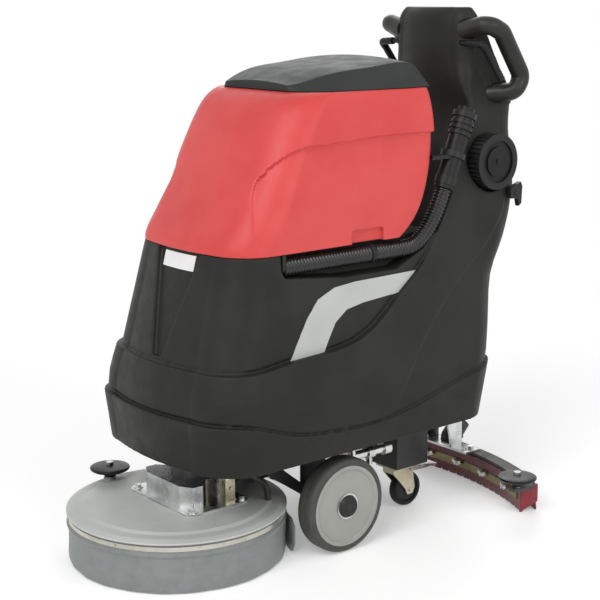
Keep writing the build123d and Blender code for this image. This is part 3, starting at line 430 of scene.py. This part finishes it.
def roundedLoop(points, radius, steps=4, closed=True):
    # each corner becomes a small curve that starts radius away from it, or half a side on short sides
    made = []
    count = len(points)
    for index in range(count):
        here = Vector(points[index])
        if not closed and index in (0, count - 1):
            made.append(tuple(here))
            continue
        before = Vector(points[index - 1])
        after = Vector(points[(index + 1) % count])
        size = radius[index] if isinstance(radius, (list, tuple)) else radius
        first = here + (before - here).normalized() * min(size, (before - here).length * 0.48)
        last = here + (after - here).normalized() * min(size, (after - here).length * 0.48)
        for step in range(steps + 1):
            t = step / steps
            made.append(tuple(first * (1 - t) ** 2 + here * 2 * t * (1 - t) + last * t**2))
    return made


def latheMesh(name, loop, centre, axis, segments, shape=None):
    # loop: closed outline of (radius, height) in metres, turned about an axis through centre
    points = []
    for step in range(segments):
        angle = 2 * math.pi * step / segments
        c = math.cos(angle)
        s = math.sin(angle)
        for radius, height in loop:
            if shape:
                radius, height = shape(radius, height, angle)
            if axis == "Z":
                points.append((centre[0] + radius * c, centre[1] + radius * s, centre[2] + height))
            else:
                points.append((centre[0] + radius * c, centre[1] + height, centre[2] + radius * s))
    rows = len(loop)
    faces = []
    for step in range(segments):
        nextStep = (step + 1) % segments
        for row in range(rows):
            nextRow = (row + 1) % rows
            faces.append(
                (step * rows + row, nextStep * rows + row, nextStep * rows + nextRow, step * rows + nextRow)
            )
    return meshFrom(name, points, faces)


def routeLine(name, controls, resolution=24):
    # the smooth line of a hose, read from one open spline
    data = bpy.data.curves.new(name, "CURVE")
    data.dimensions = "3D"
    data.resolution_u = resolution
    spline = data.splines.new("NURBS")
    spline.points.add(len(controls) - 1)
    for point, place in zip(spline.points, controls):
        point.co = (*place, 1)
    spline.order_u = 3
    spline.use_endpoint_u = True
    holder = bpy.data.objects.new(name, data)
    scene.collection.objects.link(holder)
    mesh = bpy.data.meshes.new_from_object(holder.evaluated_get(bpy.context.evaluated_depsgraph_get()))
    line = [vert.co.copy() for vert in mesh.vertices]
    bpy.data.objects.remove(holder)
    bpy.data.meshes.remove(mesh)
    return line


def evenly(line, count):
    lengths = [0.0]
    for first, second in zip(line, line[1:]):
        lengths.append(lengths[-1] + (second - first).length)
    made = []
    index = 0
    for step in range(count + 1):
        target = lengths[-1] * step / count
        while index < len(line) - 2 and lengths[index + 1] < target:
            index += 1
        part = (target - lengths[index]) / max(lengths[index + 1] - lengths[index], 1e-9)
        made.append(line[index].lerp(line[index + 1], part))
    return made, lengths[-1]


def tubeMesh(name, line, radii, segments, side, bore):
    # rings across the line, outside first and back along the bore, so the wall is closed
    points = []
    faces = []
    count = len(line)
    for inner in (False, True):
        for index in range(count):
            along = (line[min(index + 1, count - 1)] - line[max(index - 1, 0)]).normalized()
            second = along.cross(side).normalized()
            first = second.cross(along).normalized()
            radius = bore if inner else radii[index]
            for step in range(segments):
                angle = 2 * math.pi * step / segments
                points.append(
                    line[index] + first * radius * math.cos(angle) + second * radius * math.sin(angle)
                )
    total = count * segments
    for index in range(count - 1):
        for step in range(segments):
            nextStep = (step + 1) % segments
            a = index * segments
            b = a + segments
            faces.append((a + step, a + nextStep, b + nextStep, b + step))
            faces.append((total + a + nextStep, total + a + step, total + b + step, total + b + nextStep))
    for a in (0, total - segments):
        for step in range(segments):
            nextStep = (step + 1) % segments
            faces.append((a + step, a + nextStep, total + a + nextStep, total + a + step))
    return meshFrom(name, points, faces)


def applied(piece):
    # the piece's mesh with its modifiers worked in
    depsgraph = bpy.context.evaluated_depsgraph_get()
    return bpy.data.meshes.new_from_object(piece.evaluated_get(depsgraph))


def dropSealedRooms(mesh):
    # a sealed hollow is a skin of its own that faces inward: only what can be seen is kept
    work = bmesh.new()
    work.from_mesh(mesh)
    bmesh.ops.remove_doubles(work, verts=work.verts, dist=2e-6)
    left = set(work.faces)
    gone = []
    while left:
        start = left.pop()
        island = [start]
        queue = [start]
        while queue:
            face = queue.pop()
            for edge in face.edges:
                for other in edge.link_faces:
                    if other in left:
                        left.discard(other)
                        island.append(other)
                        queue.append(other)
        volume = 0.0
        for face in island:
            first = face.verts[0].co
            for second, third in zip(face.verts[1:], face.verts[2:]):
                volume += first.dot(second.co.cross(third.co)) / 6
        if volume < 0:
            gone.extend(island)
    bmesh.ops.delete(work, geom=gone, context="FACES")
    work.to_mesh(mesh)
    work.free()


def softShell(name, nodeNames, plan):
    # a moulded shell: the CAD skins as one, with their edges rounded over
    work = bmesh.new()
    for nodeName in nodeNames:
        work.from_mesh(nodes[nodeName].data)
    mesh = bpy.data.meshes.new(name)
    work.to_mesh(mesh)
    work.free()
    dropSealedRooms(mesh)
    piece = bpy.data.objects.new(name, mesh)
    scene.collection.objects.link(piece)
    remesh = piece.modifiers.new("remesh", "REMESH")
    remesh.mode = "VOXEL"
    remesh.voxel_size = plan["voxel"]
    ease = piece.modifiers.new("ease", "SMOOTH")
    ease.factor = 0.5
    ease.iterations = plan["ease"]
    thin = piece.modifiers.new("thin", "DECIMATE")
    thin.ratio = plan["keep"]
    soft = applied(piece)
    bpy.data.objects.remove(piece)
    slot = slotOf[nodeNames[0]]
    made = addPiece(name, soft, finishes[slot], bodyOf[nodeNames[0]])
    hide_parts(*nodeNames)
    print("soft shell", name, len(soft.polygons), "faces")
    return made


shellPlans = {
    "bodyShell": {"nodes": ["solution_tank", "control_head"], "voxel": 0.0026, "ease": 3, "keep": 0.35},
    "recoveryTankShell": {"nodes": ["recovery_tank"], "voxel": 0.0024, "ease": 3, "keep": 0.3},
    "tankLidShell": {"nodes": ["tank_lid"], "voxel": 0.0022, "ease": 4, "keep": 0.4},
}
for name, plan in shellPlans.items():
    softShell(name, plan["nodes"], plan)

# drain hose: ribbed, from the outlet under the tank up to its cuff
drainHose = {
    "controls": [
        (0.172, 0.175, 0.606), (-0.0975, 0.175, 0.606), (-0.2223, 0.175, 0.606), (-0.269, 0.175, 0.7217),
    ],
    "crest": 0.0180,
    "valley": 0.0156,
    "bore": 0.0130,
    "pitch": 0.0078,
    "rings": 8,
}


def makeDrainHose(plan):
    line = routeLine("drainRoute", plan["controls"])
    ribs = round(evenly(line, 2)[1] / plan["pitch"])
    line, length = evenly(line, ribs * plan["rings"])
    radii = []
    for index in range(len(line)):
        wave = 0.5 - 0.5 * math.cos(2 * math.pi * index / plan["rings"])
        radii.append(plan["valley"] + (plan["crest"] - plan["valley"]) * min(1.0, wave * 1.25))
    mesh = tubeMesh("drainHose", line, radii, 36, Vector((0, 1, 0)), plan["bore"])
    hose = addPiece("drainHose", mesh, finishes["hose_plastic"], "recovery_tank")
    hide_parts("drain_hose")
    print("drain hose", round(length, 3), "m,", ribs, "ribs")


makeDrainHose(drainHose)

# clip: a closed band round the drain hose, a little thinner at its two edges
hoseClip = {"at": (-0.06, 0.175, 0.606), "wide": 0.011, "outer": 0.0199, "bore": 0.0178}


def makeHoseClip(plan):
    line = [Vector(plan["at"]) + Vector((plan["wide"] * (step / 6 - 0.5), 0, 0)) for step in range(7)]
    radii = [plan["outer"] - (0.0006 if step in (0, 6) else 0.0) for step in range(7)]
    mesh = tubeMesh("hoseClip", line, radii, 48, Vector((0, 1, 0)), plan["bore"])
    addPiece("hoseClip", mesh, finishes["dark_plastic"], "recovery_tank")


makeHoseClip(hoseClip)

# solution hose: from the valve under the tank down to the brush deck
solutionHose = {
    "controls": [
        (0.250, 0.128, 0.2035), (0.207, 0.128, 0.169), (0.174, 0.128, 0.148), (0.174, 0.128, 0.1156),
    ],
    "radius": 0.0065,
    "bore": 0.0045,
}


def makeSolutionHose(plan):
    line, length = evenly(routeLine("solutionRoute", plan["controls"]), 60)
    radii = [plan["radius"] + (0.0006 if index < 8 or index > 53 else 0.0) for index in range(len(line))]
    mesh = tubeMesh("solutionHose", line, radii, 24, Vector((0, 1, 0)), plan["bore"])
    hose = bpy.data.objects.new("solutionHose", mesh)
    scene.collection.objects.link(hose)
    mesh.materials.append(finishes["hose_plastic"])
    mesh.shade_smooth()
    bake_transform(hose)
    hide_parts("solution_hose")
    print("solution hose", round(length, 3), "m")


makeSolutionHose(solutionHose)

# main wheels: solid tyres with rounded shoulders and a moulding line
mainTyre = {"x": 0.048, "z": 0.1, "inside": 0.08505, "radius": 0.1, "face": 0.233, "inner": 0.185}


def makeMainTyre(plan, side):
    wide = plan["face"] - plan["inner"]
    loop = [
        (plan["inside"], 0.0), (plan["inside"] + 0.004, 0.0), (plan["radius"] - 0.003, 0.003),
        (plan["radius"], 0.011),
        (plan["radius"], wide / 2 - 0.0012), (plan["radius"] - 0.0007, wide / 2),
        (plan["radius"], wide / 2 + 0.0012),
        (plan["radius"], wide - 0.011), (plan["radius"] - 0.003, wide - 0.003),
        (plan["inside"] + 0.004, wide),
        (plan["inside"], wide),
    ]
    loop = roundedLoop(loop, 0.0045, 3)
    start = plan["inner"] if side > 0 else -plan["face"]
    name = "leftTyre" if side > 0 else "rightTyre"
    mesh = latheMesh(name, loop, (plan["x"], start, plan["z"]), "Y", 128)
    tyre = addPiece(
        name, mesh, finishes["grey_tyre"], "left_wheel" if side > 0 else "right_wheel",
    )
    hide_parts("left_wheel_tyre" if side > 0 else "right_wheel_tyre")


makeMainTyre(mainTyre, 1)
makeMainTyre(mainTyre, -1)

# casters: rubber tread on a dark hub
casterWheel = {"x": -0.234, "y": 0.104, "z": 0.04, "radius": 0.04}


def makeCasterWheel(plan, side):
    tread = roundedLoop(
        [(0.0285, -0.0125), (0.034, -0.0130), (0.0385, -0.0095), (plan["radius"], -0.004), (
            plan["radius"], 0.004,
        ),
         (0.0385, 0.0095), (0.034, 0.0130), (0.0285, 0.0125)], 0.004, 4)
    hub = roundedLoop(
        [(0.00506, -0.012), (0.0115, -0.012), (0.014, -0.0085), (0.0285, -0.0085), (0.0285, 0.0085), (
            0.014, 0.0085,
        ),
         (0.0115, 0.012), (0.00506, 0.012)], 0.0012, 2)
    word = "left" if side > 0 else "right"
    centre = (plan["x"], side * plan["y"], plan["z"])
    body = word + "_caster_wheel"
    tyre = addPiece(
        word + "CasterTread", latheMesh("tread", tread, centre, "Y", 72), finishes["black_tyre"], body,
    )
    addPiece(
        word + "CasterHub", latheMesh("hub", hub, centre, "Y", 72), finishes["dark_plastic"], body,
    )
    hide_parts(word + "_caster_wheel")


makeCasterWheel(casterWheel, 1)
makeCasterWheel(casterWheel, -1)

# bumper rollers: domed rubber discs
bumperRoller = {"radius": 0.043, "bore": 0.00506, "high": 0.026}


def makeRoller(name, nodeName, body):
    low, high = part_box(nodeName)
    centre = ((low.x + high.x) / 2, (low.y + high.y) / 2, low.z)
    r = bumperRoller["radius"]
    top = bumperRoller["high"]
    loop = [
        (bumperRoller["bore"], 0.0), (0.013, 0.0), (0.0145, 0.008), (0.033, 0.0125), (r - 0.0025, 0.0155),
        (r, 0.0195),
        (r - 0.0015, 0.0225), (0.030, 0.0246), (0.016, top - 0.0004), (0.0105, top),
        (bumperRoller["bore"], top),
    ]
    mesh = latheMesh(name, roundedLoop(loop, 0.004, 4), centre, "Z", 96)
    piece = addPiece(name, mesh, finishes["soft_rubber"], body)
    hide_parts(nodeName)


makeRoller("deckRoller", "deck_roller", "deck_roller")
makeRoller("leftSqueegeeRoller", "left_squeegee_roller", "left_squeegee_roller")
makeRoller("rightSqueegeeRoller", "right_squeegee_roller", "right_squeegee_roller")
print("wheels and rollers made")

# splash skirt: hanging rubber ring with a bead under the band and a slightly wavy hem
splashSkirt = {
    "x": 0.312, "inside": 0.21805, "outside": 0.222, "bead": 0.226, "top": 0.1, "hem": 0.002, "wave": 0.0007,
}


def makeSkirt(plan):
    loop = [
        (plan["inside"], plan["hem"]), (plan["outside"] - 0.0004, plan["hem"]),
        (plan["outside"] + 0.0012, 0.012),
        (plan["outside"], 0.045), (plan["outside"], 0.074), (plan["bead"], 0.0775), (plan["bead"], 0.0828),
        (plan["outside"], 0.0852), (plan["outside"], plan["top"]), (plan["inside"], plan["top"]),
        (plan["inside"], 0.05),
    ]

    def wavy(radius, height, angle):
        hang = max(0.0, (0.07 - height) / 0.07)
        wave = math.sin(9 * angle) + 0.6 * math.sin(23 * angle + 1.3)
        return radius + plan["wave"] * hang * wave, height

    mesh = latheMesh("splashSkirt", roundedLoop(loop, 0.004, 4), (plan["x"], 0, 0), "Z", 220, wavy)
    skirt = addPiece("splashSkirt", mesh, finishes["skirt_rubber"], "deck")
    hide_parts("splash_skirt")


makeSkirt(splashSkirt)

# loose end of the skirt, leaving the ring in a straight line behind the left side
skirtFlap = {
    "angle": 147.0, "radius": 0.2235, "long": 0.055, "curl": 0.012, "thick": 0.003, "low": 0.004,
    "high": 0.0765, "steps": 12,
}


def makeSkirtFlap(plan):
    turn = math.radians(plan["angle"])
    start = Vector((splashSkirt["x"] + plan["radius"] * math.cos(turn), plan["radius"] * math.sin(turn), 0))
    along = Vector((math.sin(turn), -math.cos(turn), 0))
    out = Vector((math.cos(turn), math.sin(turn), 0))
    points = []
    faces = []
    for step in range(plan["steps"] + 1):
        t = step / plan["steps"]
        here = start + along * plan["long"] * t + out * plan["curl"] * t**1.5
        top = plan["high"] - 0.05 * max(0.0, t - 0.72)
        foot = plan["low"] + 0.10 * max(0.0, t - 0.8)
        for side in (0, 1):
            for z in (foot, foot * 0.5 + top * 0.5, top):
                points.append(here + out * plan["thick"] * side + Vector((0, 0, z)))
    for step in range(plan["steps"]):
        a = step * 6
        b = a + 6
        loop = [0, 1, 2, 5, 4, 3]
        for first, second in zip(loop, loop[1:] + loop[:1]):
            faces.append((a + first, b + first, b + second, a + second))
    for a in (0, plan["steps"] * 6):
        faces.append((a, a + 1, a + 4, a + 3))
        faces.append((a + 1, a + 2, a + 5, a + 4))
    addPiece(
        "skirtFlap", meshFrom("skirtFlap", points, faces), finishes["skirt_rubber"], "deck",
    )


makeSkirtFlap(skirtFlap)

# brush: tufts of bristle in rings
brushTufts = {
    "x": 0.312, "top": 0.0495,
    "rings": [(0.085, 34), (0.110, 44), (0.136, 54), (0.161, 64), (0.184, 74), (0.203, 84)], "strands": 4,
}


def makeTufts(plan):
    rng = random.Random(7)
    points = []
    faces = []
    for ring, count in plan["rings"]:
        for step in range(count):
            angle = 2 * math.pi * (step + 0.5 * (ring > 0.12)) / count
            foot = Vector((plan["x"] + ring * math.cos(angle), ring * math.sin(angle), plan["top"]))
            for _ in range(plan["strands"]):
                lean = Vector((rng.uniform(-0.004, 0.004), rng.uniform(-0.004, 0.004), 0))
                root = foot + Vector((rng.uniform(-0.0018, 0.0018), rng.uniform(-0.0018, 0.0018), 0))
                tip = root + lean + Vector((0.004 * math.cos(angle), 0.004 * math.sin(angle), 0))
                tip.z = 0.0004
                first = len(points)
                for place, thick in ((root, 0.0013), (root.lerp(tip, 0.5), 0.0013), (tip, 0.0008)):
                    for corner in range(5):
                        turn = 2 * math.pi * corner / 5
                        points.append(place + Vector((thick * math.cos(turn), thick * math.sin(turn), 0)))
                for level in range(2):
                    for corner in range(5):
                        a = first + level * 5 + corner
                        b = first + level * 5 + (corner + 1) % 5
                        faces.append((a, b, b + 5, a + 5))
                faces.append(tuple(first + corner for corner in reversed(range(5))))
                faces.append(tuple(first + 10 + corner for corner in range(5)))
    mesh = meshFrom("brushTufts", points, faces)
    tufts = addPiece("brushTufts", mesh, finishes["bristle_fibre"], "brush")
    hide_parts("brush_bristles")


makeTufts(brushTufts)
print("deck soft pieces made")

# squeegee blades: curved strips, the front one slotted at its foot, with turned end lips
squeegeeBlades = {
    "centre": 0.226, "front": 0.697, "rear": 0.7291, "sheet": 0.004, "top": 0.062, "half": 26.2,
    "rearHalf": 25.6,
    "endFrom": 25.65, "endLift": 0.022,
}


def stripMesh(name, centre, inner, sheet, half, top, slots):
    points = []
    faces = []
    steps = 260
    rows = [0.0, 0.004, 0.009, 0.016, 0.03, 0.045, top - 0.001, top]
    for step in range(steps + 1):
        angle = math.radians(-half + 2 * half * step / steps)
        for row, z in enumerate(rows):
            trail = 0.0018 * max(0.0, 1 - z / 0.02) ** 2
            thin = sheet * (0.72 if z == 0 or z == top else 1.0)
            for radius in (inner + trail, inner + trail + thin):
                low = z
                if slots and row == 0 and step % 10 in (4, 5):
                    low = 0.0036
                points.append((centre - radius * math.cos(angle), radius * math.sin(angle), low))
    width = 2 * len(rows)
    for step in range(steps):
        a = step * width
        b = a + width
        for row in range(len(rows) - 1):
            c = 2 * row
            faces.append((a + c, b + c, b + c + 2, a + c + 2))
            faces.append((a + c + 1, a + c + 3, b + c + 3, b + c + 1))
        faces.append((a, a + 1, b + 1, b))
        faces.append((a + width - 2, b + width - 2, b + width - 1, a + width - 1))
    for a in (0, steps * width):
        for row in range(len(rows) - 1):
            c = 2 * row
            faces.append((a + c, a + c + 2, a + c + 3, a + c + 1))
    return meshFrom(name, points, faces)


def makeBlades(plan):
    frontInner = plan["front"] - plan["sheet"]
    front = stripMesh(
        "frontBlade", plan["centre"], frontInner, plan["sheet"], plan["half"], plan["top"], True,
    )
    front = addPiece("frontBlade", front, finishes["blade_rubber"], "squeegee")
    rear = stripMesh(
        "rearBlade", plan["centre"], plan["rear"], plan["sheet"], plan["rearHalf"], plan["top"] - 0.002,
        False,
    )
    addPiece("rearBlade", rear, finishes["blade_rubber"], "squeegee")
    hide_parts("squeegee_blades")
    for side in (-1, 1):
        points = []
        faces = []
        depth = 14
        rows = [0.0, 0.004, 0.02, 0.04, 0.058, 0.062]
        for step in range(depth + 1):
            reach = plan["rear"] - plan["front"] + 2 * plan["sheet"]
            radius = plan["front"] - plan["sheet"] + reach * step / depth
            for z in rows:
                flare = 0.0012 * math.sin(math.pi * min(1.0, z / 0.062))
                lift = plan["endLift"] * step / depth * (1 - z / 0.062)
                for angle in (plan["endFrom"], plan["half"]):
                    turn = math.radians(angle) + (flare / radius if angle == plan["half"] else 0.0)
                    points.append(
                        (plan["centre"] - radius * math.cos(turn), side * radius * math.sin(turn), z + lift)
                    )
        width = 2 * len(rows)
        for step in range(depth):
            a = step * width
            b = a + width
            for row in range(len(rows) - 1):
                c = 2 * row
                faces.append((a + c, b + c, b + c + 2, a + c + 2))
                faces.append((a + c + 1, a + c + 3, b + c + 3, b + c + 1))
            faces.append((a, a + 1, b + 1, b))
            faces.append((a + width - 2, b + width - 2, b + width - 1, a + width - 1))
        for a in (0, depth * width):
            for row in range(len(rows) - 1):
                c = 2 * row
                faces.append((a + c, a + c + 2, a + c + 3, a + c + 1))
        name = "leftEndLip" if side > 0 else "rightEndLip"
        addPiece(name, meshFrom(name, points, faces), lipFinish, "squeegee")


makeBlades(squeegeeBlades)
print("squeegee blades made")

# lid seal: soft bead round the tank's mouth
lidSeal = {"low": (-0.173, -0.1205), "high": (0.027, 0.1205), "corner": 0.017, "z": 0.9402, "radius": 0.0021}


def makeSeal(plan):
    corners = [
        plan["low"], (plan["high"][0], plan["low"][1]), plan["high"], (plan["low"][0], plan["high"][1]),
    ]
    loop = roundedLoop(corners, plan["corner"], 8)
    points = []
    faces = []
    count = len(loop)
    for index in range(count):
        here = Vector((*loop[index], plan["z"]))
        along = Vector((*loop[(index + 1) % count], 0)) - Vector((*loop[index - 1], 0))
        out = Vector((along.y, -along.x, 0)).normalized()
        for step in range(10):
            angle = 2 * math.pi * step / 10
            points.append(
                here + out * plan["radius"] * 1.5 * math.cos(angle) + Vector((0, 0, plan["radius"] * math.sin(angle)))
            )
    for index in range(count):
        a = index * 10
        b = ((index + 1) % count) * 10
        for step in range(10):
            nextStep = (step + 1) % 10
            faces.append((a + step, b + step, b + nextStep, a + nextStep))
    seal = addPiece(
        "lidSeal", meshFrom("lidSeal", points, faces), finishes["soft_rubber"], "recovery_tank",
    )
    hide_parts("lid_seal")


makeSeal(lidSeal)

# floor, fading to white far off, and soft studio light
studio = {
    "floorRadius": 16.0,
    "floorColour": (0.93, 0.93, 0.93),
    "floorGlow": 0.27,
    "worldLight": 0.37,
    "lamps": [
        {"name": "key", "place": (3.2, 1.4, 3.4), "size": 2.6, "power": 102.0},
        {"name": "fill", "place": (-0.6, 3.8, 2.2), "size": 3.0, "power": 55.0},
        {"name": "back", "place": (-2.6, -2.6, 3.2), "size": 2.6, "power": 52.0},
    ],
}


def makeStudio(plan):
    reach = plan["floorRadius"]
    turns = [math.radians(a) for a in range(0, 360, 5)]
    rim = [(reach * math.cos(turn), reach * math.sin(turn), -0.0004) for turn in turns]
    mesh = bpy.data.meshes.new("floor")
    mesh.from_pydata(rim, [], [tuple(range(len(rim)))])
    floor = bpy.data.objects.new("floor", mesh)
    scene.collection.objects.link(floor)
    mat, tree, shader = newFinish("floorWhite")
    shader.inputs["Base Color"].default_value = (*plan["floorColour"], 1)
    shader.inputs["Roughness"].default_value = 0.7
    shader.inputs["Specular IOR Level"].default_value = 0.1
    shader.inputs["Emission Color"].default_value = (1, 1, 1, 1)
    shader.inputs["Emission Strength"].default_value = plan["floorGlow"]
    glow = addNode(tree, "ShaderNodeEmission")
    glow.inputs["Strength"].default_value = 1.0
    coords = addNode(tree, "ShaderNodeTexCoord")
    length = addNode(tree, "ShaderNodeVectorMath", operation="LENGTH")
    tree.links.new(coords.outputs["Object"], length.inputs[0])
    fade = spread(tree, length.outputs["Value"], 0.9, 2.6)
    mix = addNode(tree, "ShaderNodeMixShader")
    tree.links.new(fade, mix.inputs[0])
    tree.links.new(shader.outputs[0], mix.inputs[1])
    tree.links.new(glow.outputs[0], mix.inputs[2])
    tree.links.new(mix.outputs[0], tree.nodes["Material Output"].inputs["Surface"])
    mesh.materials.append(mat)
    world = bpy.data.worlds.new("studio")
    scene.world = world
    world.use_nodes = True
    tree = world.node_tree
    rays = addNode(tree, "ShaderNodeLightPath")
    seen = addNode(tree, "ShaderNodeMath", operation="MAXIMUM")
    tree.links.new(rays.outputs["Is Camera Ray"], seen.inputs[0])
    tree.links.new(rays.outputs["Is Transmission Ray"], seen.inputs[1])
    shown = addNode(tree, "ShaderNodeMath", operation="MAXIMUM")
    tree.links.new(seen.outputs[0], shown.inputs[0])
    tree.links.new(rays.outputs["Is Glossy Ray"], shown.inputs[1])
    level = spread(tree, shown.outputs[0], 0.0, 1.0, plan["worldLight"], 1.0)
    tree.links.new(level, tree.nodes["Background"].inputs["Strength"])
    tree.nodes["Background"].inputs["Color"].default_value = (1, 1, 1, 1)
    for lamp in plan["lamps"]:
        data = bpy.data.lights.new(lamp["name"], "AREA")
        data.size = lamp["size"]
        data.energy = lamp["power"]
        light = bpy.data.objects.new(lamp["name"], data)
        light.location = lamp["place"]
        aim = Vector((0, 0, 0.45)) - Vector(lamp["place"])
        light.rotation_euler = aim.to_track_quat("-Z", "Y").to_euler()
        scene.collection.objects.link(light)


makeStudio(studio)
print("studio set")
